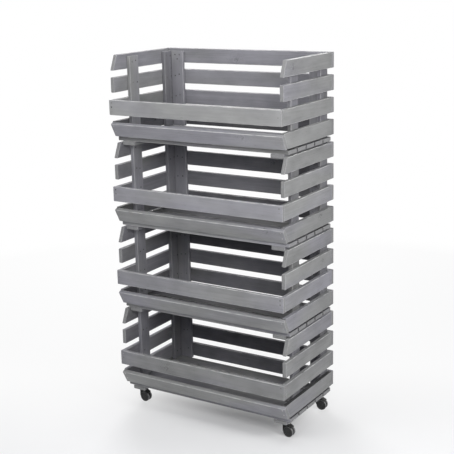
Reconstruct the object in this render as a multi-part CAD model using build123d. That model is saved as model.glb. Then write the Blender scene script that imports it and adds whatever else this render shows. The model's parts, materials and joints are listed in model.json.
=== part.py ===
from build123d import *
import math
import os

# A vegetable rack: equal slatted crates of planed pine, stacked one on another, on four
# small twin-wheel casters. Lengths are in millimetres and angles in degrees. +Z is up, the
# open front faces -Y, and the origin lies on the floor under the middle of the rack.

# Walls of a crate
crate_count = 4
crate_width = 600.0  # over the outer faces of the two side walls
side_slat_length = 300.0  # from the lip board to the back slats
slats_per_wall = 4
slat_height = 47.0
slat_thickness = 13.0
slat_gap = 20.0  # left open between two slats of one wall
edge_bevel = 2.2  # on the long edges of every board, where they are eased

# Sloping front ends of the side slats
top_slat_setback = 20.0  # of the top slat's upper corner
low_slat_setback = 25.0  # of the lowest slat's lower corner
low_board_inset = 2.4  # from the top of that slope down to the tilted board, along the slope

# Posts inside the walls
post_width = 45.0
post_thickness = 13.0
front_post_setback = 66.0  # from the front ends of the side slats
rear_post_gap = 4.0  # between the rear side posts and the back slats
nest_depth = 8.0  # of the crate above, under the top edges of the walls

# Floor of a crate
floor_board_count = 5
floor_board_thickness = 13.0
floor_board_gap = 4.0
floor_front_setback = 26.0  # from the front ends of the side slats
floor_rear_gap = 8.0  # between the last floor board and the back slats
floor_gap = 4.0  # between the floor boards and the lowest slats

# Battens under the floor
batten_width = 45.0
batten_thickness = 13.0
batten_clearance = 2.0  # to the walls of the crate below
batten_front_setback = 27.0  # from the front ends of the side slats
batten_bevel = 3.5

# Casters
caster_front_inset = 33.0  # from the battens' front ends to the front swivel axes
caster_trail = 8.0  # from the swivel axis to the wheel axle
rear_caster_turn = 5.0
running_clearance = 0.05  # on the radius of the axle and of the king pin

plate_size = 34.0
plate_thickness = 2.0
plate_corner_round = 4.0
plate_hole_radius = 2.2
plate_hole_inset = 5.0  # from two edges of the plate to the middle of a screw hole

wheel_radius = 16.0
wheel_width = 7.0
wheel_gap = 6.0  # between the two wheels of a caster
tread_bevel = 1.4
rim_width = 2.4
rim_depth = 1.2  # of the sunk face inside the rim
rim_step = 1.0  # from the rim down to the sunk face, along the radius
hub_radius = 5.5
hub_rise = 0.8  # of the hub cap above the sunk face

axle_radius = 2.5
axle_seat = 4.6  # of each axle end in its wheel

fender_clearance = 1.2  # between the treads and the fender
fender_wall = 1.6
fender_end_angle = 50.0  # above the level of the axle
web_clearance = 0.4  # between the web and each wheel
web_inset = 2.0  # of the web's rim inside the treads
hood_rise = 2.5  # of the hood's flat top above the crown of the fender
boss_wall = 3.4  # round the socket, in the boss that stands on the hood's flat top
boss_height = 9.2
boss_plate_gap = 0.5
hood_corner_round = 3.0

king_pin_radius = 3.5
socket_wall = 4.0  # from the socket to the hood's sloping side
socket_depth = 11.0
pin_end_gap = 0.5  # between the king pin and the bottom of its socket
ring_height = 1.0
ring_width = 1.2
ring_rise = 2.0  # from the king pin's lower end to the retaining ring
ring_groove_depth = 0.8  # in the king pin
ring_opening_angle = 60.0

overrun = 1.0  # of every cutting body past the face that it cuts

# Heights in one crate, from the underside of its battens
floor_bottom = batten_thickness
floor_top = floor_bottom + floor_board_thickness
wall_bottom = floor_top + floor_gap
wall_height = slats_per_wall * slat_height + (slats_per_wall - 1) * slat_gap
wall_top = wall_bottom + wall_height
post_top = wall_top - nest_depth

# The crate above rests on the posts
crate_pitch = post_top

# Places across the rack, from its middle plane to the right
wall_outer_x = crate_width / 2
wall_inner_x = wall_outer_x - slat_thickness
post_inner_x = wall_inner_x - post_thickness
back_post_inner_x = post_inner_x - post_width
batten_outer_x = wall_inner_x - batten_clearance
batten_inner_x = batten_outer_x - batten_width
caster_x = batten_outer_x - plate_size / 2

# Places from front to back
rack_depth = slat_thickness + side_slat_length + slat_thickness
front_y = -rack_depth / 2
wall_front_y = front_y + slat_thickness
wall_rear_y = wall_front_y + side_slat_length
back_y = wall_rear_y + slat_thickness
batten_front_y = wall_front_y + batten_front_setback
batten_rear_y = wall_rear_y - batten_clearance
front_caster_y = batten_front_y + caster_front_inset
rear_caster_y = batten_rear_y - plate_size / 2

# Sizes of a caster that follow from others
pair_width = wheel_gap + 2 * wheel_width
fender_radius = wheel_radius + fender_clearance + fender_wall
web_thickness = wheel_gap - 2 * web_clearance
hood_top = wheel_radius + fender_radius + hood_rise
boss_top = hood_top + boss_height
plate_bottom = boss_top + boss_plate_gap
caster_height = plate_bottom + plate_thickness
socket_bottom = boss_top - socket_depth
pin_bottom = socket_bottom + pin_end_gap
ring_bottom = pin_bottom + ring_rise
pin_groove_radius = king_pin_radius - ring_groove_depth
ring_inner_radius = pin_groove_radius + running_clearance
ring_outer_radius = ring_inner_radius + ring_width


def board(low, high, grain, bevel=edge_bevel):
    """A planed board between two corners of a box, with its edges along the grain eased."""
    size = Vector(*high) - Vector(*low)
    plain = Pos(*low) * Box(size.X, size.Y, size.Z, align=Align.MIN)
    return chamfer(plain.edges().filter_by(grain), bevel)


def on_side(side, inner, outer):
    """The low and high X of what lies between two distances from the middle plane."""
    return min(side * inner, side * outer), max(side * inner, side * outer)


def slat_levels():
    """The low and high Z of each slat of a wall, from the lowest up."""
    step = slat_height + slat_gap
    bottoms = [wall_bottom + index * step for index in range(slats_per_wall)]
    return [(bottom, bottom + slat_height) for bottom in bottoms]


def low_slope():
    """The unit direction down the lowest side slat's front end, as its Y and Z shares."""
    length = math.hypot(low_slat_setback, slat_height)
    return low_slat_setback / length, -slat_height / length


def side_slats(side):
    """One side wall: straight slats, with a front end that slopes at the top and at the bottom."""
    low_x, high_x = on_side(side, wall_inner_x, wall_outer_x)
    slats = [
        board((low_x, wall_front_y, bottom), (high_x, wall_rear_y, top), Axis.Y)
        for bottom, top in slat_levels()
    ]
    lowest_top, highest_bottom = slat_levels()[0][1], slat_levels()[-1][0]
    below = Plane((0, wall_front_y, lowest_top), z_dir=(0, slat_height, low_slat_setback))
    above = Plane((0, wall_front_y, highest_bottom), z_dir=(0, slat_height, -top_slat_setback))
    slats[0] = split(slats[0], below, Keep.TOP)
    slats[-1] = split(slats[-1], above, Keep.TOP)
    return slats


def back_slats():
    """The back wall, nailed across the rear ends of both side walls."""
    return [
        board((-wall_outer_x, wall_rear_y, bottom), (wall_outer_x, back_y, top), Axis.X)
        for bottom, top in slat_levels()
    ]


def lip_board():
    """The upright front board, which keeps what the crate holds from rolling out."""
    bottom, top = slat_levels()[1]
    return [board((-wall_outer_x, front_y, bottom), (wall_outer_x, wall_front_y, top), Axis.X)]


def low_board():
    """The tilted front board, nailed on the sloping ends of the lowest side slats."""
    down_y, down_z = low_slope()
    lowest_top = slat_levels()[0][1]
    lies_at = Plane(
        (0, wall_front_y + low_board_inset * down_y, lowest_top + low_board_inset * down_z),
        x_dir=(1, 0, 0),
        z_dir=(0, down_z, -down_y),
    )
    plain = board((-wall_outer_x, 0, 0), (wall_outer_x, slat_height, slat_thickness), Axis.X)
    return [lies_at * (Pos(0, -slat_height, 0) * plain)]


def side_posts(side):
    """The two posts inside one side wall, which its slats are nailed to."""
    low_x, high_x = on_side(side, post_inner_x, wall_inner_x)
    starts = (wall_front_y + front_post_setback, wall_rear_y - rear_post_gap - post_width)
    return [
        board((low_x, start, floor_top), (high_x, start + post_width, post_top), Axis.Z)
        for start in starts
    ]


def back_posts():
    """A post against the back wall in each rear corner."""
    posts = []
    for side in (-1, 1):
        low_x, high_x = on_side(side, back_post_inner_x, post_inner_x)
        low_y = wall_rear_y - post_thickness
        posts.append(board((low_x, low_y, floor_top), (high_x, wall_rear_y, post_top), Axis.Z))
    return posts


def floor_boards():
    """Boards across the crate, evenly spaced, under the ends of the posts."""
    front = wall_front_y + floor_front_setback
    depth = wall_rear_y - floor_rear_gap - front
    gaps = (floor_board_count - 1) * floor_board_gap
    width = (depth - gaps) / floor_board_count
    starts = [front + index * (width + floor_board_gap) for index in range(floor_board_count)]
    return [
        board((-wall_outer_x, start, floor_bottom), (wall_outer_x, start + width, floor_top), Axis.X)
        for start in starts
    ]


def battens():
    """Two runners under the floor, which nest inside the crate below and stand on its posts."""
    runners = []
    for side in (-1, 1):
        low_x, high_x = on_side(side, batten_inner_x, batten_outer_x)
        low, high = (low_x, batten_front_y, 0), (high_x, batten_rear_y, floor_bottom)
        runners.append(board(low, high, Axis.Y, batten_bevel))
    return runners


def crate_boards():
    """The boards of one crate in groups, with the underside of its battens at zero."""
    return {
        "left_slats": side_slats(-1),
        "right_slats": side_slats(1),
        "back_slats": back_slats(),
        "lip_board": lip_board(),
        "low_board": low_board(),
        "left_posts": side_posts(-1),
        "right_posts": side_posts(1),
        "back_posts": back_posts(),
        "floor_boards": floor_boards(),
        "battens": battens(),
    }


def crate_nodes():
    """The same boards for every crate of the stack, by node name, from the lowest crate up."""
    nodes = {}
    groups = crate_boards()
    for index in range(crate_count):
        place = Pos(0, 0, caster_height + index * crate_pitch)
        for name, boards in groups.items():
            nodes[f"crate_{index + 1}_{name}"] = [place * piece for piece in boards]
    return nodes


def ring_solid(inner, outer, bottom, height):
    """A flat ring about the swivel axis."""
    return Pos(0, 0, bottom) * extrude(Circle(outer) - Circle(inner), height)


def upright_cylinder(radius, bottom, height):
    """A cylinder on the swivel axis, from its bottom up."""
    return Pos(0, 0, bottom) * extrude(Circle(radius), height)


def mounting_plate():
    """The steel plate under the batten, with a hole for the king pin and four for screws."""
    hole_pitch = plate_size - 2 * plate_hole_inset
    outline = RectangleRounded(plate_size, plate_size, plate_corner_round)
    holes = GridLocations(hole_pitch, hole_pitch, 2, 2) * Circle(plate_hole_radius)
    return Pos(0, 0, plate_bottom) * extrude(outline - holes - Circle(king_pin_radius), plate_thickness)


def king_pin():
    """The pin that the hood swivels on, pressed into the plate and grooved near its end."""
    pin = upright_cylinder(king_pin_radius, pin_bottom, caster_height - pin_bottom)
    pin = chamfer(pin.edges().sort_by(Axis.Z)[0], pin_end_gap)
    groove_bottom = ring_bottom - running_clearance
    groove_height = ring_height + 2 * running_clearance
    return pin - ring_solid(pin_groove_radius, king_pin_radius + overrun, groove_bottom, groove_height)


def retaining_ring():
    """The open spring ring that sits half in the pin's groove and half in the socket's."""
    ring = ring_solid(ring_inner_radius, ring_outer_radius, ring_bottom, ring_height)
    reach = ring_outer_radius + overrun
    half_opening = math.radians(ring_opening_angle / 2)
    side = reach * math.tan(half_opening)
    opening = Polygon((0, 0), (reach, -side), (reach, side), align=None)
    return ring - Pos(0, 0, ring_bottom - overrun) * extrude(opening, ring_height + 2 * overrun)


def hood_side_view():
    """The hood seen along the axle: a squared block that runs down into the fender."""
    left = caster_trail - fender_radius
    right = king_pin_radius + socket_wall
    rise = hood_top - wheel_radius
    run = right - caster_trail
    slope_angle = math.atan2(rise, run) - math.acos(fender_radius / math.hypot(rise, run))
    centre = Vector(caster_trail, wheel_radius)
    fender_end = centre + Vector(fender_radius, 0).rotate(Axis.Z, fender_end_angle)
    slope_foot = centre + Vector(fender_radius, 0).rotate(Axis.Z, math.degrees(slope_angle))
    straights = Polyline(
        fender_end, centre, (left, wheel_radius), (left, hood_top), (right, hood_top), slope_foot
    )
    fender_arc = math.degrees(slope_angle) - fender_end_angle
    return make_face(straights + CenterArc(centre, fender_radius, fender_end_angle, fender_arc))


def across_caster(section, width):
    """A drawing of the side view, thickened evenly to both sides of the swivel axis."""
    return Pos(0, -width / 2, 0) * extrude(Plane.XZ * section, width, dir=(0, 1, 0))


def caster_hood():
    """The swivelling body: fender over both wheels, web between them, boss for the king pin."""
    hood = across_caster(hood_side_view(), pair_width)
    corners = hood.edges().filter_by(Axis.Z).sort_by(Axis.X)[:2]
    hood = fillet(corners, hood_corner_round)
    centre = Pos(caster_trail, wheel_radius)
    well = centre * Circle(wheel_radius + fender_clearance)
    solid_web = across_caster(well, web_thickness)
    hood = hood - (across_caster(well, pair_width + 2 * overrun) - solid_web)
    hood = hood + across_caster(centre * Circle(wheel_radius - web_inset), web_thickness)
    hood = hood - across_caster(centre * Circle(axle_radius + running_clearance), pair_width)
    hood = hood + upright_cylinder(king_pin_radius + boss_wall, hood_top, boss_height)
    socket_radius = king_pin_radius + running_clearance
    hood = hood - upright_cylinder(socket_radius, socket_bottom, socket_depth + overrun)
    groove_height = ring_height + 2 * running_clearance
    groove_radius = ring_outer_radius + running_clearance
    return hood - upright_cylinder(groove_radius, ring_bottom - running_clearance, groove_height)


def wheel_disc():
    """One wheel, turned from its half section, with the sunk face and hub cap outwards."""
    inner = wheel_gap / 2
    outer = inner + wheel_width
    sunk = outer - rim_depth
    shoulder = wheel_radius - tread_bevel
    rim_edge = shoulder - rim_width
    seat = inner + axle_seat
    outline = Polyline(
        (axle_radius, inner),
        (shoulder, inner),
        (wheel_radius, inner + tread_bevel),
        (wheel_radius, outer - tread_bevel),
        (shoulder, outer),
        (rim_edge, outer),
        (rim_edge - rim_step, sunk),
        (hub_radius + hub_rise, sunk),
        (hub_radius, sunk + hub_rise),
        (0, sunk + hub_rise),
        (0, seat),
        (axle_radius, seat),
        close=True,
    )
    return revolve(make_face(outline), Axis.Y)


def wheels():
    """The two wheels of a caster, back to back, at their place on the axle."""
    disc = wheel_disc()
    centre = Pos(caster_trail, 0, wheel_radius)
    return [centre * disc, centre * (Rot(180, 0, 0) * disc)]


def axle():
    """The steel pin that both wheels are pressed on and that runs in the web."""
    centre = Pos(caster_trail, wheel_radius)
    return across_caster(centre * Circle(axle_radius), wheel_gap + 2 * axle_seat)


def caster_places():
    """The four swivel axes by corner, each with how far the caster is turned at rest."""
    return {
        "front_left": Pos(-caster_x, front_caster_y, 0),
        "front_right": Pos(caster_x, front_caster_y, 0),
        "rear_left": Pos(-caster_x, rear_caster_y, 0) * Rot(0, 0, rear_caster_turn),
        "rear_right": Pos(caster_x, rear_caster_y, 0) * Rot(0, 0, rear_caster_turn),
    }


def caster_nodes():
    """Every piece of the four casters, by node name."""
    nodes = {"king_pins": [], "retaining_rings": []}
    for corner, place in caster_places().items():
        square = Pos(place.position)
        nodes[f"{corner}_plate"] = [square * mounting_plate()]
        nodes[f"{corner}_hood"] = [place * caster_hood()]
        nodes[f"{corner}_axle"] = [place * axle()]
        nodes[f"{corner}_wheels"] = [place * wheel for wheel in wheels()]
        nodes["king_pins"].append(square * king_pin())
        nodes["retaining_rings"].append(square * retaining_ring())
    return nodes


def write_nodes(nodes):
    """One file for each node, named after it, with its pieces as separate solids."""
    os.makedirs("parts", exist_ok=True)
    for name, pieces in nodes.items():
        solids = [solid for piece in pieces for solid in piece.solids()]
        whole = solids[0] if len(solids) == 1 else Compound(children=solids)
        export_step(whole, f"parts/{name}.step")


rack = {**crate_nodes(), **caster_nodes()}
write_nodes(rack)
print(f"{len(rack)} nodes, {sum(len(pieces) for pieces in rack.values())} pieces")
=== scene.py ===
# %% [markdown]
# This lesson dresses a tall rack of four slatted crates that stand on small casters.
# The construction comes in ready and stays where it is. What is made here is the look:
# boards of stained pine, the nails that hold them, and the moulded casters.
# Every length is in metres, +Z is up and the open front of the rack faces -Y.

# %% Load the rack
import json
import math

import bmesh
import bpy
import numpy as np
from mathutils import Matrix, Vector

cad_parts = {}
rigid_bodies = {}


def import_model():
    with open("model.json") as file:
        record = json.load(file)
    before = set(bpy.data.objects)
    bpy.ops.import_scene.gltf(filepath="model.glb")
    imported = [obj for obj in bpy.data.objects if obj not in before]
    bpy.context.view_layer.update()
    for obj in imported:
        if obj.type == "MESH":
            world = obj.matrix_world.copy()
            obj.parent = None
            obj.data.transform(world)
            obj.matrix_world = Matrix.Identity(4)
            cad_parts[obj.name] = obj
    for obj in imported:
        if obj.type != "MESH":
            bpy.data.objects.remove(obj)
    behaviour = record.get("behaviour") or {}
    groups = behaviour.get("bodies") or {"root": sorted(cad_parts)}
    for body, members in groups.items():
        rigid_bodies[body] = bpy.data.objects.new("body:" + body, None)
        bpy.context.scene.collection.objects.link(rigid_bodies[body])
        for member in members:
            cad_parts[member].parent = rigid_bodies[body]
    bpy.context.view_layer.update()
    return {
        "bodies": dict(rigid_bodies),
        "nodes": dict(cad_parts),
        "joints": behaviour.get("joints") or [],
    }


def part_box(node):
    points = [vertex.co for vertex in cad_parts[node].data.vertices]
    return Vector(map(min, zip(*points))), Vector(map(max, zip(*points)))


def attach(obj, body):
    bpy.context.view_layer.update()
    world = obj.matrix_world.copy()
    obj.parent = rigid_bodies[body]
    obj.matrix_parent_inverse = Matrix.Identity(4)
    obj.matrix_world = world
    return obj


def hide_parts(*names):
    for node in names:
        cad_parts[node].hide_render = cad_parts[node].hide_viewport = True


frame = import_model()
crate_names = sorted(body for body in frame["bodies"] if not body.endswith(("_swivel", "_wheel_set")))
corner_names = sorted(body[: -len("_swivel")] for body in frame["bodies"] if body.endswith("_swivel"))
print("crates", crate_names, "casters", corner_names)

# %% [markdown]
# The photograph looks at the rack from its front right and from a little above its top.
# A camera could be aimed at the middle of the rack, but then it would show upright lines
# differently. So it gets the place, the three turns and the focal length that put the corners
# of the real rack where the photograph has them. Its frame is shifted down a little.

# %% Camera
frame_pixels = 454
focal_pixels = 1004.8
axis_row_pixels = 204.0
sensor_width_mm = 36.0
camera_place = (1.6236, -2.5601, 1.3791)
camera_turn = math.radians(32.15)
camera_tilt = math.radians(13.09)
camera_roll = math.radians(-1.27)

camera_data = bpy.data.cameras.new("camera")
camera_data.sensor_width = sensor_width_mm
camera_data.lens = sensor_width_mm * focal_pixels / frame_pixels
camera_data.shift_y = (axis_row_pixels - frame_pixels / 2) / frame_pixels
camera = bpy.data.objects.new("camera", camera_data)
bpy.context.scene.collection.objects.link(camera)
camera.matrix_world = (
    Matrix.Translation(camera_place)
    @ Matrix.Rotation(camera_turn, 4, "Z")
    @ Matrix.Rotation(math.pi / 2 - camera_tilt, 4, "X")
    @ Matrix.Rotation(camera_roll, 4, "Z")
)
bpy.context.scene.camera = camera
print("focal length", round(camera_data.lens, 1), "mm, shift", round(camera_data.shift_y, 4))

# %% [markdown]
# A material here is a small web of nodes. A few helpers keep the webs short to write. One
# adds a node, sets its sockets and joins others to it, and the rest are the nodes that are
# needed most: a sum, a soft step, a mix of colours, a noise, a stretch, a grey and bumps.

# %% Helpers for materials
class Web:
    """The node tree of one material, with short ways to add to it."""

    def __init__(self, tree):
        self.tree = tree

    def feed(self, node, inputs):
        """Gives a node's inputs their numbers and colours, or joins them to other nodes' outputs."""
        for name, value in inputs.items():
            if isinstance(value, bpy.types.NodeSocket):
                self.tree.links.new(value, node.inputs[name])
            else:
                node.inputs[name].default_value = value

    def add(self, kind, inputs=None, **settings):
        """Adds a node of a kind, with its settings and its inputs."""
        node = self.tree.nodes.new("ShaderNode" + kind)
        for name, value in settings.items():
            setattr(node, name, value)
        self.feed(node, inputs or {})
        return node

    def sum(self, operation, first, second=0.0, third=0.0):
        """One sum on one, two or three numbers."""
        return self.add("Math", {0: first, 1: second, 2: third}, operation=operation).outputs[0]

    def ease(self, value, low, high, start=0.0, end=1.0):
        """A soft step: start below low, end above high, and an S curve between them."""
        node = self.add(
            "MapRange",
            {"Value": value, "From Min": low, "From Max": high, "To Min": start, "To Max": end},
            interpolation_type="SMOOTHSTEP",
        )
        return node.outputs[0]

    def mix(self, share, first, second, blend="MIX"):
        """Two colours mixed by a share."""
        colours = {0: share, 6: first, 7: second}
        return self.add("Mix", colours, data_type="RGBA", blend_type=blend, clamp_factor=True).outputs[2]

    def noise(self, vector, scale, detail=2.0, roughness=0.5):
        """Soft cloudy noise between 0 and 1."""
        inputs = {"Vector": vector, "Scale": scale, "Detail": detail, "Roughness": roughness}
        return self.add("TexNoise", inputs).outputs[0]

    def stretched(self, vector, scale):
        """The same place, with each of its three numbers times its own scale."""
        return self.add("Mapping", {"Vector": vector, "Scale": scale}).outputs[0]

    def grey_of(self, level):
        """A grey whose level is another node's output."""
        return self.add("CombineColor", {0: level, 1: level, 2: level}).outputs[0]

    def relief(self, shader, height, strength, distance):
        """Bumps on a shader's surface."""
        bump = self.add("Bump", {"Height": height, "Strength": strength, "Distance": distance})
        self.feed(shader, {"Normal": bump.outputs[0]})


def new_material(name):
    """An empty material, its web and its main shader, joined to the output."""
    material = bpy.data.materials.new(name)
    material.use_nodes = True
    material.node_tree.nodes.clear()
    web = Web(material.node_tree)
    shader = web.add("BsdfPrincipled")
    web.add("OutputMaterial", {0: shader.outputs[0]})
    return material, web, shader


def grey(level, warm=0.0):
    """A grey of a level of light, a little warmer or, below zero, a little bluer."""
    return (level * (1 + warm), level, level * (1 - warm), 1.0)


# %% [markdown]
# The studio is a white sheet. A white floor under strong lamps would wash out the rack, so
# the lamps stay at a plain level and the floor is made white by a glow that only the camera
# and mirror-like surfaces see. It is strongest behind the rack and fades towards the camera.
# A round pool in front of the rack has none, and there the plain floor keeps the shadow.

# %% Floor and background
floor_size = 60.0
floor_level = 0.80
floor_roughness = 0.9
sweep_way = (-0.53, 0.85, 0.0)
sweep_near, sweep_middle, sweep_far = -0.75, 0.35, 3.0
sweep_middle_share, sweep_far_share = 0.87, 0.12
pool_middle = (0.12, -0.32, 0.0)
pool_inner, pool_outer = 0.1, 0.6
far_inner, far_outer = 0.9, 2.6
world_light = (0.030, 0.036, 0.054)


def seen_directly(web):
    """1 for rays from the camera, from a glossy surface or through glass, and 0 for the rest."""
    rays = web.add("LightPath")
    seen = web.sum("MAXIMUM", rays.outputs["Is Camera Ray"], rays.outputs["Is Glossy Ray"])
    return web.sum("MAXIMUM", seen, rays.outputs["Is Transmission Ray"])


def floor_material():
    """Plain pale floor near the rack, which glows white further out."""
    material, web, shader = new_material("studio_floor")
    place = web.add("TexCoord").outputs["Object"]
    centred = web.add("Mapping", {"Vector": place, "Location": pool_middle}, vector_type="TEXTURE")
    distance = web.add("VectorMath", {0: centred.outputs[0]}, operation="LENGTH").outputs["Value"]
    away = web.add("VectorMath", {0: place, 1: sweep_way}, operation="DOT_PRODUCT").outputs["Value"]
    sweep = web.ease(away, sweep_near, sweep_middle, 0.0, sweep_middle_share)
    sweep = web.sum("ADD", sweep, web.ease(away, sweep_middle, sweep_far, 0.0, sweep_far_share))
    glow = web.sum("MULTIPLY", sweep, web.ease(distance, pool_inner, pool_outer))
    glow = web.sum("MAXIMUM", glow, web.ease(distance, far_inner, far_outer))
    colour = grey(floor_level)
    web.feed(shader, {"Base Color": colour, "Roughness": floor_roughness, "Specular IOR Level": 0.0})
    white = web.add("Emission", {"Color": grey(1.0), "Strength": 1.0})
    share = web.sum("MULTIPLY", glow, seen_directly(web))
    both = web.add("MixShader", {0: share, 1: shader.outputs[0], 2: white.outputs[0]})
    output = [node for node in web.tree.nodes if node.type == "OUTPUT_MATERIAL"][0]
    web.feed(output, {0: both.outputs[0]})
    return material


def build_floor():
    """One large square at floor level."""
    half = floor_size / 2
    mesh = bpy.data.meshes.new("studio_floor")
    corners = [(-half, -half, 0), (half, -half, 0), (half, half, 0), (-half, half, 0)]
    mesh.from_pydata(corners, [], [(0, 1, 2, 3)])
    mesh.materials.append(floor_material())
    floor = bpy.data.objects.new(mesh.name, mesh)
    bpy.context.scene.collection.objects.link(floor)


def build_world(light):
    """White where it is seen, and an even soft light of a given colour where it lights."""
    world = bpy.data.worlds.new("studio")
    bpy.context.scene.world = world
    world.use_nodes = True
    web = Web(world.node_tree)
    web.tree.nodes.clear()
    colour = web.mix(seen_directly(web), (*light, 1.0), grey(1.0))
    sky = web.add("Background", {"Color": colour, "Strength": 1.0})
    web.add("OutputWorld", {0: sky.outputs[0]})


build_floor()
build_world(world_light)

# %% [markdown]
# In the photograph the tops of the boards are the lightest, the fronts and the right side
# are nearly alike, and the fronts weaken towards the floor. That is the look of a soft lamp
# beside the camera, as high as the rack and close to it. A second one to the left reaches
# into the crates, one to the right lights the side wall, and one hangs above. A fifth one,
# behind and to the left, lights the two sides that the photograph doesn't show.

# %% Lamps
lamp_target = (0.0, 0.0, 0.65)
# Each lamp: its place, the length of its sides, and its power in watts.
lamps = {
    "softbox_key": ((1.2, -1.5, 1.45), 0.8, 20.0),
    "softbox_left": ((-0.5, -1.6, 1.9), 1.0, 14.0),
    "softbox_right": ((2.0, -0.3, 1.4), 1.0, 24.0),
    "softbox_top": ((0.0, -0.3, 3.0), 1.4, 27.0),
    "softbox_back": ((-1.5, 1.7, 1.6), 1.2, 34.0),
}


def area_lamp(name, place, size, power):
    """A square soft lamp at a place, turned to face the middle of the rack."""
    data = bpy.data.lights.new(name, "AREA")
    data.size = size
    data.energy = power
    lamp = bpy.data.objects.new(name, data)
    lamp.visible_camera = False
    bpy.context.scene.collection.objects.link(lamp)
    turn = (Vector(lamp_target) - Vector(place)).to_track_quat("-Z", "Y").to_matrix().to_4x4()
    lamp.matrix_world = Matrix.Translation(place) @ turn


for name, (place, size, power) in lamps.items():
    area_lamp(name, place, size, power)
bpy.context.scene.view_settings.view_transform = "Standard"

# %% [markdown]
# A piece worked out with numpy is a list of corner points and a list of faces. These helpers
# join such lists, close a shape with rings and fans of faces, put both lists into a mesh,
# add numbers that the material can read at each point, and make the piece ride with its body.

# %% Helpers for pieces
def box_of(node):
    """The low and the high corner of the box round one node of the construction."""
    return [np.array(corner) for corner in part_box(node)]


def tube_faces(rings, columns):
    """Quads between neighbouring closed rings that have the same number of points."""
    ring = np.arange(rings - 1)[:, None] * columns
    here = np.arange(columns)[None, :]
    there = (here + 1) % columns
    quads = [ring + here, ring + columns + here, ring + columns + there, ring + there]
    return np.stack(quads, -1).reshape(-1, 4)


def fan_faces(pole, ring_start, columns, outwards):
    """Triangles that close a ring with one point in its middle."""
    here = ring_start + np.arange(columns)
    there = ring_start + (np.arange(columns) + 1) % columns
    middle = np.full(columns, pole)
    order = (middle, here, there) if outwards else (middle, there, here)
    return np.stack(order, -1)


def join(parts):
    """Several (points, face lists, values) made one, with the face numbers moved along."""
    points, faces, values, count = [], [], {}, 0
    for part_points, part_faces, part_values in parts:
        points.append(part_points)
        faces += [block + count for block in part_faces]
        for name, numbers in part_values.items():
            values.setdefault(name, []).append(numbers)
        count += len(part_points)
    return np.concatenate(points), faces, {name: np.concatenate(rows) for name, rows in values.items()}


def show(mesh, material, body, replaced=()):
    """Puts a mesh into the scene as a piece that rides with a body."""
    mesh.materials.append(material)
    piece = bpy.data.objects.new(mesh.name, mesh)
    bpy.context.scene.collection.objects.link(piece)
    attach(piece, body)
    if replaced:
        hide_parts(*replaced)


def new_piece(name, shape, material, body, replaced=()):
    """Shows a smooth mesh made from (points, face lists, values)."""
    points, faces, values = shape
    mesh = bpy.data.meshes.new(name)
    corners = np.concatenate([block.ravel() for block in faces]).astype(np.int32)
    sizes = np.concatenate([np.full(len(block), block.shape[1]) for block in faces])
    starts = np.concatenate([[0], np.cumsum(sizes)[:-1]]).astype(np.int32)
    mesh.vertices.add(len(points))
    mesh.vertices.foreach_set("co", points.astype(np.float32).ravel())
    mesh.loops.add(len(corners))
    mesh.loops.foreach_set("vertex_index", corners)
    mesh.polygons.add(len(starts))
    mesh.polygons.foreach_set("loop_start", starts)
    for value_name, numbers in values.items():
        kind, field = ("FLOAT_VECTOR", "vector") if numbers.ndim == 2 else ("FLOAT", "value")
        layer = mesh.attributes.new(value_name, kind, "POINT")
        layer.data.foreach_set(field, numbers.astype(np.float32).ravel())
    mesh.update(calc_edges=True)
    mesh.shade_smooth()
    show(mesh, material, body, replaced)


# %% [markdown]
# One board is planed pine with its edges rubbed round. A box with a bevel would do from far
# away. Here the board is a rounded rectangle carried along the grain, so the same two
# parameters, round the section and along the board, also give the material the place of
# each point in the tree that the board was sawn from.

# %% The surface of a board
# The long edges are rounder than the ends. The lowest side slats have crisper edges, because
# round ones would widen the gap between them and the floor boards.
edge_radius = 0.0024
crisp_radius = 0.0010
end_radius = 0.0012
skin_gap = 0.00022
arc_steps = 4
end_steps = 3
station_pitch = 0.03
run_pitch = 0.008
run_margin = 0.0006
largest_margin_share = 0.25
wave_height = 0.00012
wave_count = 3
wave_paces = (9, 40)
wave_phases = (0, 6.28)
wave_skews = (-90, 90)
closing_shares = np.array([0.72, 0.4])
# The ends' round edges get less wear and painted highlight than the long edges.
end_wear_and_highlight = 0.35
# No painted shade or highlight on a board's sides or near its ends.
no_painted_side_shade = (0.0, 0.0, 0.0)


def straight_shares(length):
    """Even places along a straight run, with one more close to each of its ends."""
    steps = max(2, round(length / run_pitch))
    margin = min(largest_margin_share, run_margin / length)
    return np.concatenate([[margin], np.arange(1, steps) / steps, [1 - margin]])


def rounded_section(width, thickness, radius):
    """The points, normals and roundness of a rectangle with quarter circles as its corners.

    Each corner is its centre plus the radius times (cos a, sin a), and each side runs
    straight from one corner to the next. Roundness is sin 2a on a corner and 0 on a side.
    """
    half = np.array([width, thickness]) / 2 - radius
    angle = np.linspace(0, math.pi / 2, arc_steps + 1)
    points, normals, roundness = [], [], []
    for quarter in range(4):
        turned_angle = angle + quarter * math.pi / 2
        normal = np.stack([np.cos(turned_angle), np.sin(turned_angle)], 1)
        side = np.sign(normal[arc_steps // 2])
        arc = half * side + radius * normal
        goal = half * np.array([-side[1], side[0]]) + radius * normal[-1]
        share = straight_shares(np.linalg.norm(goal - arc[-1]))[:, None]
        run = arc[-1] + share * (goal - arc[-1])
        points += [arc, run]
        normals += [normal, np.repeat(normal[-1:], len(run), 0)]
        roundness += [np.sin(2 * angle), np.zeros(len(run))]
    return np.concatenate(points), np.concatenate(normals), np.concatenate(roundness)


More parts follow.
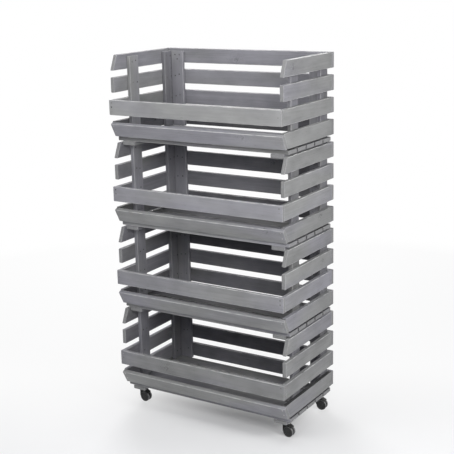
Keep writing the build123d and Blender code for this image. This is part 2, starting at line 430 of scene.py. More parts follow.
def board_values(normal, roundness, turn, rings, painted_side_shade):
    """What the material reads at a board's points: how worn its edges are, with their painted highlight,
    how much painted shade it has, and where it is sawn.

    The first and the last rings close the sawn ends. The ones next to them lie on the round
    edges of the ends, which are rubbed less than the long edges.
    """
    closed = len(closing_shares)
    round_ends = slice(closed, closed + end_steps + 1), slice(-closed - end_steps - 1, -closed)
    ends = np.zeros((rings, len(normal)))
    worn = np.tile(roundness, (rings, 1))
    # Painted shade on the narrow sides, or a painted highlight below zero.
    side = np.where(normal[:, 0] < 0, *painted_side_shade[:2]) * normal[:, 0] ** 2
    dark = np.tile(side, (rings, 1))
    for closing in (slice(closed), slice(-closed, None)):
        worn[closing] = 0
    for round_end in round_ends:
        rubbed_and_highlight = end_wear_and_highlight * np.sin(2 * turn)[:, None]
        worn[round_end] = np.maximum(end_wear_and_highlight * worn[round_end], rubbed_and_highlight)
        # Painted shade on the face towards the third direction, near the ends.
        dark[round_end] = np.maximum(side, painted_side_shade[2] * np.maximum(normal[:, 1], 0))
    for sawn in (slice(closed + 1), slice(-closed - 1, None)):
        ends[sawn] = 1
    dark = (dark * (1 - ends)).ravel()
    return {
        "worn": np.append(worn.ravel() * (1 - dark), [0, 0]),
        "end_grain": np.append(ends.ravel(), [1, 1]),
        "dark": np.append(dark, [0, 0]),
    }


def board_shape(size, random, front_slope=(0.0, 0.0), painted_side_shade=no_painted_side_shade, radius=edge_radius):
    """One board in its own directions: along the grain, across its width, and through it.

    A point is the section's point less a small inset along the normal. The inset grows by a
    quarter circle towards each end, and its waves are sums of sines along the board. The
    front end starts at front_slope's first number at the low edge and its second at the high
    edge of the width, in a straight line between them. The fourth argument is how much
    painted shade three places get, or below zero a painted highlight: the narrow side at the
    low edge, the one at the high edge, and the face towards the third direction close to both
    ends.
    """
    length, width, thickness = size
    section, normal, roundness = rounded_section(width, thickness, radius)
    columns = len(section)
    turn = np.linspace(0, math.pi / 2, end_steps + 1)
    middle = max(2, round(length / station_pitch))
    rest = np.arange(1, middle) / middle
    level = np.zeros(len(rest))
    setback = end_radius * (1 - np.cos(turn))
    pinch = end_radius * (1 - np.sin(turn))
    share = np.concatenate([np.zeros(end_steps + 1), rest, np.ones(end_steps + 1)])
    offset = np.concatenate([setback, level, -setback[::-1]])
    inset = np.concatenate([pinch, level, pinch[::-1]])
    along = (share * length)[:, None]
    wave = sum(
        np.sin(along * pace + random.uniform(*wave_phases) + section[:, 0] * random.uniform(*wave_skews))
        for pace in random.uniform(*wave_paces, wave_count)
    )
    depth = skin_gap + inset[:, None] + wave_height * wave / wave_count
    across = section - depth[:, :, None] * normal
    closing = closing_shares[:, None, None]
    across = np.concatenate([across[:1] * closing[::-1], across, across[-1:] * closing])
    share = np.pad(share, len(closing), mode="edge")[:, None]
    offset = np.pad(offset, len(closing))[:, None]
    rise = across[:, :, 0] / width + 0.5
    start = front_slope[0] + (front_slope[1] - front_slope[0]) * rise + skin_gap
    grain = (1 - share) * start + share * (length - skin_gap) + offset
    rings = len(share)
    points = np.concatenate([grain[:, :, None], across], 2).reshape(-1, 3)
    poles = [[sum(front_slope) / 2 + skin_gap, 0, 0], [length - skin_gap, 0, 0]]
    faces = [
        tube_faces(rings, columns),
        fan_faces(rings * columns, 0, columns, True),
        fan_faces(rings * columns + 1, (rings - 1) * columns, columns, False),
    ]
    outwards = [block[:, ::-1] for block in faces]
    values = board_values(normal, roundness, turn, rings, painted_side_shade)
    return np.concatenate([points, poles]), outwards, values


# %% The place of a board in its tree
knot_share = 0.10
knot_along = (0.08, 0.92)
knot_across = (-0.8, 0.8)
far_knot = (9.0, 9.0)
heart_across = (-0.03, 0.03)
heart_below = (0.012, 0.06)
beside_share = 0.25
beside_across = (0.05, 0.08)
beside_below = (-0.01, 0.01)
cut_heights = (0, 6)


def random_knot(points, random):
    """The place of a board's knot, along and across it, or one far off for a clear board."""
    along = random.uniform(*knot_along) * points[:, 0].max()
    across = random.uniform(*knot_across) * points[:, 1].max()
    return (along, across) if random.random() < knot_share else far_knot


def place_board(shape, origin, grain_way, width_way, random, knot, board_painted_shade):
    """Turns a board into the rack and notes where in the tree it came from.

    Its three directions are the grain, the width and their cross product. The heart of the
    tree lies below or above most boards and beside some, and each board is cut at another
    height. Each point also gets its way from the board's knot.
    """
    points, faces, values = shape
    spare_knot = random_knot(points, random)
    knot = np.array([*(knot or spare_knot), 0])
    ways = np.array([grain_way, width_way, np.cross(grain_way, width_way)], float)
    heart = [random.uniform(*heart_across), random.uniform(*heart_below) * random.choice([-1, 1])]
    if random.random() < beside_share:
        heart = [random.uniform(*beside_across), random.uniform(*beside_below)]
    shift = np.array([random.uniform(*cut_heights), *heart])
    values = {
        **values,
        "grain": points + shift,
        "knot": points - knot,
        # Each board's random tone and tint, plus its painted light and shade.
        "tone_and_painted_lighting": np.full(len(points), random.uniform(-1, 1) + board_painted_shade[0]),
        "tint_and_painted_shade": np.full(len(points), random.uniform(-1, 1) + board_painted_shade[1]),
    }
    return np.array(origin) + points @ ways, faces, values


# %% [markdown]
# Under the grey stain the wood is still pine. Its rings are circles about the heart of the
# tree, so one rule gives the arches on the wide faces, the lines on the edges and the rings
# on the ends. The stain lies unevenly, plain grey in places and a little violet in others,
# and it is rubbed thin on the edges, pale enough to stand for a painted highlight there as
# well. Some boards carry painted light and shade, the shaded ones leaning violet. Painted
# rings on each face would be quicker but would not meet at the corners.

# %% Stained pine
ring_pitch = 0.0031
ring_drift = 0.016
ring_share = -0.06
stain_level = 0.252
tone_step = 0.035
hue_step = 0.10
fleck_share = -0.30
clear_level = 1.02
# Rubbed edges: stain worn thin, made pale enough to also paint the highlight that round edges catch.
rubbed_and_highlight_share = 0.68
rubbed_and_highlight_level = 0.64
wood_gloss = 0.09

# The uneven stain, in parts: the scale along, across and through the grain, the detail and
# roughness of the noise, and how far it moves the level.
stain_parts = {
    "fibre": ((14.0, 900.0, 900.0), 3.0, 0.6, 0.26),
    "streak": ((2.2, 95.0, 95.0), 3.0, 0.55, 0.26),
    "cloud": ((5.0, 13.0, 13.0), 3.0, 0.6, 0.60),
    "patch": ((16.0, 30.0, 30.0), 2.0, 0.5, 0.34),
}

# A knot bends the rings round it and has a broken dark ring itself.
knot_ripple_scale = 110.0
knot_ripple = 0.017
knot_stretch = (0.8, 1.1, 0.0)
knot_near = (0.005, 0.030)
knot_inner = (0.0030, 0.0055)
knot_outer = (0.0055, 0.0085)
knot_bend = 0.014
knot_ring_share = -0.16
knot_level_share = -0.42

# A sawn end has pores and saw marks, and its late wood is darker.
end_level = 0.24
end_cover = 0.85
pore_share = 0.07
saw_share = 0.10
late_wood_share = -0.075


def wood_knot(web, place):
    """How near a point is to the board's knot, and how far it lies in the knot's dark ring."""
    ripple = web.add("TexNoise", {"Vector": place, "Scale": knot_ripple_scale, "Detail": 2.0}).outputs[1]
    moved = web.add("VectorMath", {0: ripple, 1: (0.5, 0.5, 0.5)}, operation="SUBTRACT").outputs[0]
    scaled = web.add("VectorMath", {0: moved, "Scale": knot_ripple}, operation="SCALE").outputs[0]
    placed = web.add("VectorMath", {0: place, 1: scaled}, operation="ADD").outputs[0]
    flat = web.add("VectorMath", {0: placed, 1: knot_stretch}, operation="MULTIPLY").outputs[0]
    distance = web.add("VectorMath", {0: flat}, operation="LENGTH").outputs["Value"]
    near = web.ease(distance, *knot_near, 1.0, 0.0)
    inner = web.ease(distance, *knot_inner)
    outer = web.ease(distance, *knot_outer, 1.0, 0.0)
    broken = web.ease(web.noise(place, 140.0, 1.0), 0.38, 0.58)
    return near, web.sum("MULTIPLY", web.sum("MULTIPLY", inner, outer), broken)


def wood_ring(web, grain, near_knot):
    """0 in pale early wood, rising to 1 in the dark late wood of each year."""
    parts = web.add("SeparateXYZ", {0: grain})
    flat = web.add("CombineXYZ", {1: parts.outputs[1], 2: parts.outputs[2]})
    radius = web.add("VectorMath", {0: flat.outputs[0]}, operation="LENGTH").outputs["Value"]
    drift = web.noise(web.stretched(grain, (1.6, 14.0, 14.0)), 1.0, 2.0)
    radius = web.sum("MULTIPLY_ADD", drift, ring_drift, radius)
    radius = web.sum("MULTIPLY_ADD", near_knot, knot_bend, radius)
    phase = web.sum("FRACT", web.sum("DIVIDE", radius, ring_pitch))
    return web.sum("MULTIPLY", web.ease(phase, 0.25, 0.86), web.ease(phase, 0.9, 1.0, 1.0, 0.0))


def end_surface(web, grain, ring):
    """The colour and the relief of a sawn end: dark late wood, light early wood, fine pores."""
    pores = web.noise(web.stretched(grain, (300.0, 1700.0, 1700.0)), 1.0, 2.0, 0.6)
    saw = web.noise(web.stretched(grain, (100.0, 60.0, 700.0)), 1.0, 2.0, 0.5)
    level = web.sum("MULTIPLY_ADD", web.ease(pores, 0.35, 0.65), pore_share, end_level)
    level = web.sum("MULTIPLY_ADD", web.sum("SUBTRACT", saw, 0.5), saw_share, level)
    return web.grey_of(web.sum("MULTIPLY_ADD", ring, late_wood_share, level)), pores


def stained_pine():
    """Grey stained pine, from the numbers that each point of a board has."""
    material, web, shader = new_material("stained_pine")
    names = ("grain", "knot", "worn", "end_grain", "dark", "tone_and_painted_lighting", "tint_and_painted_shade")
    read = {name: web.add("Attribute", attribute_name=name) for name in names}
    grain, knot = read["grain"].outputs["Vector"], read["knot"].outputs["Vector"]
    worn, cut, dark, tone_and_painted_lighting, tint_and_painted_shade = (read[name].outputs["Fac"] for name in names[2:])
    near_knot, knot_ring = wood_knot(web, knot)
    ring = wood_ring(web, grain, near_knot)

    # The tone holds painted light and shade as well as the board's own tone.
    level = web.sum("MULTIPLY_ADD", tone_and_painted_lighting, tone_step, clear_level)
    noises = {}
    for name, (scale, detail, roughness, share) in stain_parts.items():
        noises[name] = web.noise(web.stretched(grain, scale), 1.0, detail, roughness)
        level = web.sum("MULTIPLY_ADD", web.sum("SUBTRACT", noises[name], 0.5), share, level)
    fleck = web.noise(web.stretched(grain, (55.0, 420.0, 420.0)), 1.0, 3.0, 0.6)
    level = web.sum("MULTIPLY_ADD", web.ease(fleck, 0.64, 0.74), fleck_share, level)
    ring_depth = web.sum("MULTIPLY_ADD", near_knot, knot_ring_share, ring_share)
    level = web.sum("MULTIPLY_ADD", ring, ring_depth, level)
    level = web.sum("MULTIPLY_ADD", knot_ring, knot_level_share, level)
    # Painted shade from the boards' own numbers darkens the level.
    level = web.sum("MULTIPLY", level, web.sum("SUBTRACT", 1.0, dark))

    hue = web.noise(web.stretched(grain, (3.0, 9.0, 9.0)), 1.0, 1.0)
    # The tint holds the board's own hue and a violet lean that paints cool shade.
    hue = web.sum("MULTIPLY_ADD", tint_and_painted_shade, hue_step, hue)
    plain = (stain_level, stain_level * 1.005, stain_level * 0.995, 1.0)
    violet = (stain_level * 1.0, stain_level * 0.99, stain_level * 1.08, 1.0)
    stain = web.mix(web.ease(hue, 0.3, 0.7), plain, violet)
    colour = web.mix(1.0, stain, web.grey_of(level), "MULTIPLY")
    end_colour, pores = end_surface(web, grain, ring)
    colour = web.mix(web.sum("MULTIPLY", cut, end_cover), colour, end_colour)
    # Pale rubbed edges: worn stain plus a painted highlight on the round edges.
    rub = web.noise(web.stretched(grain, (30.0, 110.0, 110.0)), 1.0, 3.0, 0.65)
    rubbed_and_highlight = web.sum("MULTIPLY", web.sum("MULTIPLY", worn, web.ease(rub, 0.30, 0.60)), rubbed_and_highlight_share)
    colour = web.mix(rubbed_and_highlight, colour, grey(rubbed_and_highlight_level, 0.01))
    roughness = web.ease(noises["streak"], 0.2, 0.8, 0.56, 0.74)
    web.feed(shader, {"Base Color": colour, "Roughness": roughness, "Specular IOR Level": wood_gloss})

    relief = web.sum("MULTIPLY_ADD", noises["fibre"], 0.5, web.sum("MULTIPLY", ring, 0.35))
    relief = web.sum("MULTIPLY_ADD", knot_ring, -0.6, relief)
    relief = web.sum("MULTIPLY_ADD", web.sum("MULTIPLY", cut, pores), 1.2, relief)
    web.relief(shader, relief, 0.45, 0.0006)
    return material


pine = stained_pine()

# %% [markdown]
# Every wooden group of a crate is some equal boards, spread evenly over the group's box. So
# each group needs only its two directions, the direction it is spread in, and a count. The
# top and the lowest slat of a side wall have a sloping front end, and one front board is
# tilted to lie on the lower slopes.

# %% Boards of the crates
slat_width = 0.047
board_thickness = 0.013
post_width = 0.045
floor_board_gap = 0.004
top_setback = 0.020
low_setback = 0.025
# Painted shade on the floor boards' narrow sides that face a gap, and on their tops near the ends.
floor_gap_painted_shade = 0.75
X, Y, Z = np.eye(3)
up_the_slope = np.array([0, -low_setback, slat_width]) / math.hypot(low_setback, slat_width)
random = np.random.default_rng(41)

# The knots that the photograph shows, by board, along it from its start and off its middle.
seen_knots = {
    ("crate_4_back_slats", 3): (0.2655, -0.0095),
    ("crate_4_right_slats", 3): (0.0545, 0.002),
}
# Narrow sides with painted shade or, below zero, a painted highlight that makes them paler than the rest
# of their board.
painted_sides_by_board = {
    ("crate_4_right_slats", 3): (0.0, -1.2, 0.0),
    ("crate_1_right_slats", 0): (0.0, 0.8, 0.0),
    ("crate_3_floor_boards", 0): (-0.2, floor_gap_painted_shade, floor_gap_painted_shade),
}
# The left slats of the three lower crates get painted shade inside, close to their front ends.
front_painted_shade = 0.42
front_painted_shade_reach = 0.12
front_painted_shade_crates = crate_names[:3]

# Painted light and shade on some boards of each group: lit boards made paler, shaded ones
# darker, and the shaded inner groups more violet as painted cool shade. A row has the number
# of their crate and their own number, both from below, or every for all, and how much paler
# and how much more violet they are.
every = None
painted_shades = {
    "back_slats": [
        (every, every, 0.0, 1.0), (every, 0, -7.0, 0.0), (4, 0, -11.0, 0.0), (3, 0, -7.0, 0.0),
        (2, 2, -12.0, 0.0), (1, 2, -5.0, 0.0), (1, 1, -8.0, 0.0),
    ],
    "back_posts": [(every, every, 0.0, 1.2), (3, every, 9.0, 0.0), (2, every, 4.0, 0.0)],
    "left_posts": [
        (every, every, 0.0, 0.6), (4, 0, 3.0, 0.0), (4, 1, -6.0, 0.0), (3, every, 4.0, 0.0),
        (2, every, 4.0, 0.0),
    ],
    "left_slats": [(every, 0, -9.0, 0.0), (4, 0, -7.0, 0.0), (4, 1, -4.0, 0.0), (1, 0, 15.0, 0.0)],
    "right_slats": [(every, every, 0.0, -0.8), (2, 3, -3.0, 0.0)],
    "right_posts": [(every, every, -8.0, 0.0)],
    "lip_board": [(4, 0, 5.0, -1.2), (3, 0, 5.0, 1.0), (2, 0, 1.0, 1.2), (1, 0, -1.5, 0.6)],
    "low_board": [(4, 0, 5.0, 0.8), (3, 0, 4.0, 0.5), (2, 0, 4.0, -0.2), (1, 0, 5.0, -1.2)],
    "floor_boards": [
        (4, 0, -10.0, 0.0), (3, 0, 4.0, 0.0), (3, 3, -6.0, 0.0), (2, 2, -11.0, 0.0),
        (2, 3, -11.0, 0.0),
    ],
}
# Posts get less edge wear and painted highlight.
post_wear_and_highlight = 0.45

# Each group: along the grain, across the width, spread along, how many, and their width.
groups = {
    "left_slats": (Y, Z, Z, 4, slat_width),
    "right_slats": (Y, Z, Z, 4, slat_width),
    "back_slats": (X, Z, Z, 4, slat_width),
    "lip_board": (X, Z, Z, 1, slat_width),
    "left_posts": (Z, Y, Y, 2, post_width),
    "right_posts": (Z, Y, Y, 2, post_width),
    "back_posts": (Z, X, X, 2, post_width),
    "floor_boards": (X, Y, Y, 5, None),
    "battens": (Y, X, X, 2, post_width),
}


def board_places(node, grain_way, width_way, spread_way, count, width):
    """The size of each of a group's boards, and their starting points."""
    low, high = box_of(node)
    size = high - low
    spread = size @ spread_way
    if width is None:
        width = (spread - (count - 1) * floor_board_gap) / count
    step = (spread - width) / max(1, count - 1)
    through = np.abs(np.cross(grain_way, width_way))
    base = low * grain_way + (low + high) / 2 * through
    starts = [low @ spread_way + index * step + width / 2 for index in range(count)]
    return (size @ grain_way, width, size @ through), [base + spread_way * start for start in starts]


def painted_shade_of(crate, group, index):
    """The painted light and shade of a board, paler and more violet: the sum of the rows that fit it."""
    board_painted_shade = np.zeros(2)
    number = crate_names.index(crate) + 1
    for row_crate, row_index, *row_painted_shade in painted_shades.get(group, []):
        if row_crate in (every, number) and row_index in (every, index):
            board_painted_shade += row_painted_shade
    return board_painted_shade


def slope_of(group, index, count):
    """How far the front end of a side slat is set back at its low and at its high edge."""
    if group in ("left_slats", "right_slats") and index in (0, count - 1):
        return (0.0, top_setback) if index else (low_setback, 0.0)
    return (0.0, 0.0)


def paint_front_shade(shape):
    """Paints shade on the face towards a board's third direction, most at its front end."""
    points, _, values = shape
    on_face = points[:, 2] > board_thickness / 2 - edge_radius
    near = np.clip(1 - points[:, 0] / front_painted_shade_reach, 0, 1)
    front_shade = front_painted_shade * near * on_face * (1 - values["end_grain"])
    values["dark"] = np.maximum(values["dark"], front_shade)


def build_group(crate, group):
    """All boards of one group as one piece."""
    grain_way, width_way, _, count, _ = groups[group]
    node = f"{crate}_{group}"
    size, origins = board_places(node, *groups[group])
    boards = []
    for index, origin in enumerate(origins):
        painted_side_shade = no_painted_side_shade
        # Floor boards: painted shade in the gaps between them and on their tops near the ends.
        if group == "floor_boards":
            painted_side_shade = (floor_gap_painted_shade * (index > 0), floor_gap_painted_shade * (index < count - 1), floor_gap_painted_shade)
        # Some listed boards get their own painted shade or highlight on their sides.
        painted_side_shade = painted_sides_by_board.get((node, index), painted_side_shade)
        slope = slope_of(group, index, count)
        shape = board_shape(size, random, slope, painted_side_shade, crisp_radius if slope[0] else edge_radius)
        if group.endswith("_posts"):
            shape[2]["worn"] *= post_wear_and_highlight
        # Painted shade inside the left slats near the front.
        if group == "left_slats" and crate in front_painted_shade_crates:
            paint_front_shade(shape)
        knot = seen_knots.get((node, index))
        # The board's painted light and shade, from the table.
        board_painted_shade = painted_shade_of(crate, group, index)
        boards.append(place_board(shape, origin, grain_way, width_way, random, knot, board_painted_shade))
    new_piece(f"{node}_boards", join(boards), pine, crate, [node])


def tilted_board(crate):
    """The front board that leans on the sloping ends of the lowest side slats."""
    node = f"{crate}_low_board"
    low, high = box_of(node)
    origin = (low + high) / 2 * (1 - X) + low * X
    shape = board_shape(((high - low) @ X, slat_width, board_thickness), random)
    placed = place_board(shape, origin, X, up_the_slope, random, None, painted_shade_of(crate, "low_board", 0))
    new_piece(f"{node}_board", placed, pine, crate, [node])


for crate in crate_names:
    for group in groups:
        build_group(crate, group)
    tilted_board(crate)
print("boards on", len(crate_names), "crates")

# %% [markdown]
# Nails hold the crate together, two wherever a slat crosses a post and two at each end of a
# front board. On the photograph they are dark specks where the head sits in a dent of torn
# fibres, and bright ones where the metal is bare. A head is turned from a short profile, and
# its dark rim is painted shade for the dent, which turns pale as a painted glint on bare nails.

# %% A turned shape
def turned(profile, columns):
    """A closed shape turned about its own axis, from (radius, height) pairs.

    A point is (radius cos a, radius sin a, height). The profile starts and ends on the axis,
    where one point closes the shape. It runs from the top down to the bottom.
    """
    profile = np.array(profile, float)
    angle = np.arange(columns) * 2 * math.pi / columns
    ring = np.stack([np.cos(angle), np.sin(angle)], 1)
    walls = profile[1:-1]
    across = walls[:, None, :1] * ring[None]
    height = np.broadcast_to(walls[:, None, 1:], (len(walls), columns, 1))
    points = np.concatenate([across, height], 2).reshape(-1, 3)
    poles = np.array([[0, 0, profile[0, 1]], [0, 0, profile[-1, 1]]])
    points = np.concatenate([points, poles])
    last = (len(walls) - 1) * columns
    top, bottom = len(points) - 2, len(points) - 1
    faces = [
        tube_faces(len(walls), columns),
        fan_faces(top, 0, columns, True),
        fan_faces(bottom, last, columns, False),
    ]
    return points, faces


def round_corner(centre, radius, start, end, steps):
    """Points of an arc in a profile, as (radius, height) pairs, with angles in degrees."""
    angle = np.radians(np.linspace(start, end, steps + 1))
    return list(zip(centre[0] + radius * np.cos(angle), centre[1] + radius * np.sin(angle)))


def facing(direction):
    """Two directions square to a direction, and the direction itself, as rows."""
    direction = np.array(direction, float)
    direction = direction / np.linalg.norm(direction)
    side = np.cross(Y if abs(direction[1]) < 0.9 else X, direction)
    side = side / np.linalg.norm(side)
    return np.array([side, np.cross(direction, side), direction])


# %% Nails
nail_radius = 0.0024
nail_columns = 10
nail_rise = skin_gap * 0.8
rim_start = 0.55
end_inset = 0.010
lip_nail_shares = (0.53, 0.80)
lip_nail_jitter = 0.002
tilted_nail_shares = (0.42, 0.86)
side_nail_offsets = (-0.0095, 0.0095)
side_nail_jitter = 0.003
side_nail_margin = 0.012
back_post_offsets = [(-0.009, 0.004), (0.009, 0.005)]
top_back_post_offset = (0.001, -0.009)
back_post_jitter = 0.0025
back_post_margin = 0.010
back_nail_offsets = (-0.012, 0.012)
back_nail_jitter = 0.001
floor_nail_spread = 0.5
floor_nail_jitter = 0.003
# How bright the metal is, which also pales the rim's painted shade into a painted glint: dull on the lip
# boards, bare on the tilted boards, dull elsewhere.
lip_shine, tilted_shine, post_shine, plain_shine = (0.0, 0.5), (0.6, 1.0), (0, 0.3), (0, 0.4)


def nail_shape(place, direction, shine):
    """One nail head, with 1 on its rim of painted dent shade and 0 on the metal, and how bright it is."""
    profile = [(0, nail_rise), (nail_radius * 0.3, nail_rise), (nail_radius * 0.52, nail_rise * 0.8)]
    profile += [(nail_radius * 0.58, nail_rise * 0.25), (nail_radius, nail_rise * 0.1)]
    profile += [(nail_radius, -nail_rise), (0, -nail_rise)]
    points, faces = turned(profile, nail_columns)
    rim = np.hypot(points[:, 0], points[:, 1]) > nail_radius * rim_start
    placed = np.array(place) + points @ facing(direction)
    shines = np.full(len(points), random.uniform(*shine))
    return placed, faces, {"rim": rim.astype(float), "shine": shines}


def jitter(reach, count=None):
    """How far a nail is off its place, once or in several directions."""
    return random.uniform(-reach, reach, count)


def near_ends(low, high, inset):
    """The two places at an inset from the ends of a box along X."""
    return low[0] + inset, high[0] - inset


def front_nails(crate):
    """Two nails at each end of both front boards."""
    nails = []
    lip_low, lip_high = box_of(f"{crate}_lip_board")
    low, high = box_of(f"{crate}_low_board")
    out = np.cross(X, up_the_slope)
    lip_ends, low_ends = near_ends(lip_low, lip_high, end_inset), near_ends(low, high, end_inset)
    for lip_x, low_x in zip(lip_ends, low_ends):
        for share in lip_nail_shares:
            z = lip_low[2] + share * (lip_high[2] - lip_low[2])
            place = (lip_x + jitter(lip_nail_jitter), lip_low[1] + skin_gap, z)
            nails.append(nail_shape(place, -Y, lip_shine))
        middle = (low + high) / 2 * (1 - X) + X * low_x + out * (board_thickness / 2 - skin_gap)
        for share in tilted_nail_shares:
            place = middle + up_the_slope * (share - 0.5) * slat_width
            nails.append(nail_shape(place, out, tilted_shine))
    return nails


def slat_middles(crate):
    """The heights of the middles of a wall's slats, from the lowest up."""
    low, high = box_of(f"{crate}_back_slats")
    return np.linspace(low[2] + slat_width / 2, high[2] - slat_width / 2, 4)


def side_post_nails(crate):
    """Two nails, driven from inside, wherever a side post crosses a slat."""
    nails = []
    for side, name in ((1, "left_posts"), (-1, "right_posts")):
        low, high = box_of(f"{crate}_{name}")
        x = high[0] - skin_gap if side > 0 else low[0] + skin_gap
        for middle in (low[1] + post_width / 2, high[1] - post_width / 2):
            for height in slat_middles(crate):
                for offset in side_nail_offsets:
                    y, z = (middle + offset, height) + jitter(side_nail_jitter, 2)
                    place = (x, y, min(z, high[2] - side_nail_margin))
                    nails.append(nail_shape(place, side * X, post_shine))
    return nails


def back_post_nails(crate):
    """Two nails wherever a back post crosses a slat, and a third at the top."""
    nails = []
    low, high = box_of(f"{crate}_back_posts")
    heights = slat_middles(crate)
    for middle in near_ends(low, high, post_width / 2):
        for height in heights:
            top = [top_back_post_offset] if height == heights[-1] else []
            for across, up in back_post_offsets + top:
                x, z = (middle + across, height + up) + jitter(back_post_jitter, 2)
                place = (x, low[1] + skin_gap, min(z, high[2] - back_post_margin))
                nails.append(nail_shape(place, -Y, post_shine))
    return nails


def back_and_floor_nails(crate):
    """Two nails at each end of a back slat, and two where a floor board lies on a batten."""
    nails = []
    low, high = box_of(f"{crate}_back_slats")
    for x in near_ends(low, high, board_thickness / 2):
        for z in slat_middles(crate):
            for offset in back_nail_offsets:
                place = (x + jitter(back_nail_jitter), high[1] - skin_gap, z + offset)
                nails.append(nail_shape(place, Y, plain_shine))
    (_, width, thickness), origins = board_places(f"{crate}_floor_boards", *groups["floor_boards"])
    low, high = box_of(f"{crate}_battens")
    for x in near_ends(low, high, post_width / 3):
        for _, middle, height in origins:
            for offset in (-floor_nail_spread / 2, floor_nail_spread / 2):
                top = height + thickness / 2 - skin_gap
                place = (x + jitter(floor_nail_jitter), middle + offset * width, top)
                nails.append(nail_shape(place, Z, plain_shine))
    return nails


def nail_steel():
    """Dull steel, with a rim of painted shade for its dent that pales to a painted glint on bare nails,
    from the numbers rim and shine of each nail.
    """
    material, web, shader = new_material("nail_steel")
    rim = web.add("Attribute", attribute_name="rim").outputs["Fac"]
    shine = web.add("Attribute", attribute_name="shine").outputs["Fac"]
    rust = web.noise(web.add("TexCoord").outputs["Object"], 900.0, 3.0)
    metal = web.mix(shine, grey(0.06), grey(0.85))
    metal = web.mix(web.ease(rust, 0.45, 0.75, 0.0, 0.3), metal, (0.10, 0.07, 0.055, 1.0))
    # The rim: painted shade in the dent, and a painted glint on bare nails.
    painted_dent_shade_and_glint = web.mix(web.ease(shine, 0.5, 1.0), grey(0.035), grey(0.40))
    metallic = web.sum("SUBTRACT", 0.9, web.sum("MULTIPLY", rim, 0.9))
    roughness = web.ease(rust, 0.3, 0.7, 0.35, 0.6)
    colour = web.mix(rim, metal, painted_dent_shade_and_glint)
    web.feed(shader, {"Base Color": colour, "Metallic": metallic, "Roughness": roughness})
    return material


nail_material = nail_steel()
for crate in crate_names:
    nails = front_nails(crate) + side_post_nails(crate) + back_post_nails(crate)
    nails += back_and_floor_nails(crate)
    new_piece(f"{crate}_nails", join(nails), nail_material, crate)
    print(crate, len(nails), "nails")

# %% [markdown]
# A caster has two hard plastic wheels back to back on one axle, a black hood over them and a
# zinc plated steel plate above. The plate, axle and pins have their final shape and only need
# a finish. The hood gets softer edges, and the wheels are turned from a smoother profile.

# %% Plastic and steel
plastic_gloss = 0.25
scuff_scale = 190.0
# The grey of dust and of a painted highlight on faces that point up.
dust_and_highlight_level = 0.24
tread_level = 0.22
zinc_levels = 0.34, 0.52


def moulded_plastic(name, level, roughness, grain_scale, dust_and_highlight):
    """Black plastic with the fine grain of its mould, scuffs, and paler grey on what faces up, partly
    dust and partly a painted highlight.

    Where a piece has the number tread, the plastic is scuffed grey from rolling.
    """
    material, web, shader = new_material(name)
    place = web.add("TexCoord").outputs["Object"]
    grain = web.noise(place, grain_scale, 3.0, 0.6)
    scuff = web.noise(place, scuff_scale, 4.0, 0.65)
    upward = web.add("SeparateXYZ", {0: web.add("NewGeometry").outputs["Normal"]}).outputs[2]
    # Upward faces: dust plus a painted highlight of the light from above.
    dust_and_painted_highlight = web.sum("MULTIPLY", web.ease(upward, 0.1, 1.0), web.ease(scuff, 0.35, 0.7, 0.0, dust_and_highlight))
    colour = web.mix(web.ease(scuff, 0.55, 0.8, 0.0, 0.5), grey(level, -0.01), grey(level * 2.4))
    tread = web.add("Attribute", attribute_name="tread").outputs["Fac"]
    rolled = web.sum("MULTIPLY", tread, web.ease(scuff, 0.2, 0.7, 0.6, 1.0))
    colour = web.mix(rolled, colour, grey(tread_level))
    colour = web.mix(dust_and_painted_highlight, colour, grey(dust_and_highlight_level, 0.03))
    rough = web.ease(scuff, 0.3, 0.75, roughness, roughness + 0.2)
    web.feed(shader, {"Base Color": colour, "Roughness": rough, "Specular IOR Level": plastic_gloss})
    web.relief(shader, grain, 0.25, 0.0002)
    return material


def zinc_plate():
    """Dull zinc on steel, cloudy, with fine rolling marks."""
    material, web, shader = new_material("zinc_plate")
    place = web.add("TexCoord").outputs["Object"]
    cloud = web.noise(place, 120.0, 4.0, 0.6)
    marks = web.noise(web.stretched(place, (40.0, 1500.0, 1500.0)), 1.0, 2.0)
    dull, bright = zinc_levels
    colour = web.mix(web.ease(cloud, 0.3, 0.7), grey(dull), grey(bright, 0.01))
    roughness = web.ease(cloud, 0.3, 0.7, 0.34, 0.52)
    web.feed(shader, {"Base Color": colour, "Metallic": 1.0, "Roughness": roughness})
    web.relief(shader, marks, 0.2, 0.0001)
    return material


# The last number is the share of dust and painted highlight on upward faces.
hood_plastic = moulded_plastic("hood_plastic", 0.018, 0.42, 2600.0, 0.18)
wheel_plastic = moulded_plastic("wheel_plastic", 0.026, 0.34, 1800.0, 0.12)
zinc = zinc_plate()
for name, node in frame["nodes"].items():
    if name.endswith(("_plate", "_axle")) or name in ("king_pins", "retaining_rings"):
        node.data.materials.clear()
        node.data.materials.append(zinc)

# %% [markdown]
# A moulded hood has no sharp edge. The construction's hood is copied, its triangles are merged
# into whole faces again, and every outer edge is cut back to a small round.

# %% Hoods
hood_edge_round = 0.0005
hood_round_steps = 2
hood_sharp_angle = math.radians(30)
hood_flat_angle = math.radians(1)
hood_merge_distance = 1e-6


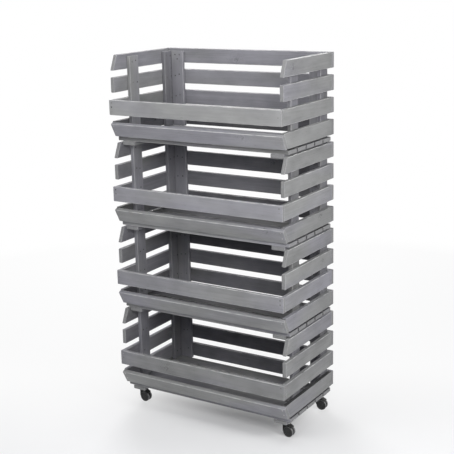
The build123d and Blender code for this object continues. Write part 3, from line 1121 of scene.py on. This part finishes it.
def build_hood(corner):
    """A copy of a caster's hood with its outer edges rounded. Gives the number of edges."""
    node = f"{corner}_hood"
    work = bmesh.new()
    work.from_mesh(frame["nodes"][node].data)
    bmesh.ops.remove_doubles(work, verts=work.verts, dist=hood_merge_distance)
    bmesh.ops.dissolve_limit(work, angle_limit=hood_flat_angle, verts=work.verts, edges=work.edges)
    sharp = [edge for edge in work.edges if edge.is_convex and edge.calc_face_angle(0) > hood_sharp_angle]
    bmesh.ops.bevel(
        work, geom=sharp, offset=hood_edge_round, segments=hood_round_steps, profile=0.5, affect="EDGES"
    )
    mesh = bpy.data.meshes.new(f"{corner}_hood_rounded")
    work.to_mesh(mesh)
    work.free()
    mesh.shade_smooth()
    mesh.set_sharp_from_angle(angle=hood_sharp_angle)
    show(mesh, hood_plastic, f"{corner}_swivel", [node])
    return len(sharp)


for corner in corner_names:
    print(corner, "hood:", build_hood(corner), "edges rounded")

# %% [markdown]
# A wheel is a shell turned about its axle: a hub cap, a sunk face, a raised rim, and a tread
# with round shoulders. The construction's wheel is coarser, because its solids stay simple.

# %% Wheels
wheel_columns = 72
wheel_pair_width = 0.020
wheel_gap = 0.006
tread_round = 0.0014
rim_width = 0.0023
rim_drop = 0.0012
hub_radius = 0.0055
hub_rise = 0.0009
seam = 0.0004
groove_width = 0.0016
groove_depth = 0.0001


def wheel_profile(radius, inner, outer):
    """From the hub cap over the sunk face, the rim and the tread to the inner face."""
    sunk = outer - rim_drop
    shoulder = radius - tread_round
    rim_edge = shoulder - rim_width
    low = sunk - groove_depth
    profile = [(0, sunk + hub_rise), (hub_radius * 0.5, sunk + hub_rise)]
    profile += round_corner((hub_radius - hub_rise, sunk), hub_rise, 90, 10, 4)
    profile += [(hub_radius + 0.0003, sunk), (hub_radius + groove_width, low)]
    profile += [(rim_edge - groove_width, low), (rim_edge - 0.0007, sunk), (rim_edge, outer - 0.0002)]
    profile += [(rim_edge + seam, outer), (shoulder - seam, outer)]
    profile += round_corner((shoulder, outer - tread_round), tread_round, 90, 0, 6)
    profile += round_corner((shoulder, inner + tread_round), tread_round, 0, -90, 6)
    return profile + [(shoulder - seam, inner), (hub_radius, inner), (0, inner)]


def build_wheels(corner):
    """Both wheels of a caster, on the axis of its rolling joint."""
    node = f"{corner}_wheels"
    joint = [joint for joint in frame["joints"] if joint["name"] == f"{corner}_roll"][0]
    centre, axis = np.array(joint["pos_m"]), np.array(joint["axis"])
    low, high = box_of(node)
    radius = (high[2] - low[2]) / 2
    inner, outer = wheel_gap / 2, wheel_pair_width / 2
    points, faces = turned(wheel_profile(radius, inner, outer), wheel_columns)
    reach = np.hypot(points[:, 0], points[:, 1])
    on_tread = (reach > radius - tread_round * 0.5) & (points[:, 2] > inner + tread_round * 0.2)
    values = {"tread": on_tread.astype(float)}
    discs = [(centre + points @ facing(side * axis), faces, values) for side in (-1, 1)]
    new_piece(
        f"{corner}_wheel_pair", join(discs), wheel_plastic, f"{corner}_wheel_set", [node]
    )


for corner in corner_names:
    build_wheels(corner)

# %% [markdown]
# Four short screws hold each plate to its batten. Only their rounded heads show, from below.
# A head is a dome, pressed in along a cross.

# %% Screws
screw_radius = 0.0034
screw_rise = 0.0014
screw_columns = 32
dome_steps = 8
slot_half_width = 0.0005
slot_reach = 0.0021
slot_depth = 0.0007
screw_inset = 0.005


def screw_shape(place):
    """A domed head that points down, with a cross-shaped dent in its middle."""
    shares = np.linspace(0, 1, dome_steps + 1)
    dome = [(screw_radius * share, screw_rise * math.sqrt(1 - 0.85 * share**2)) for share in shares]
    points, faces = turned(dome + [(screw_radius, 0), (0, 0)], screw_columns)
    near_slot = np.minimum(np.abs(points[:, 0]), np.abs(points[:, 1])) < slot_half_width
    in_slot = near_slot & (np.hypot(points[:, 0], points[:, 1]) < slot_reach) & (points[:, 2] > 0)
    points[in_slot, 2] -= slot_depth
    return np.array(place) + points @ facing(-Z), faces, {}


screws = []
for corner in corner_names:
    low, high = box_of(f"{corner}_plate")
    for x in near_ends(low, high, screw_inset):
        for y in (low[1] + screw_inset, high[1] - screw_inset):
            screws.append(screw_shape((x, y, low[2])))
new_piece("caster_screws", join(screws), zinc, crate_names[0])
print(len(screws), "screws")
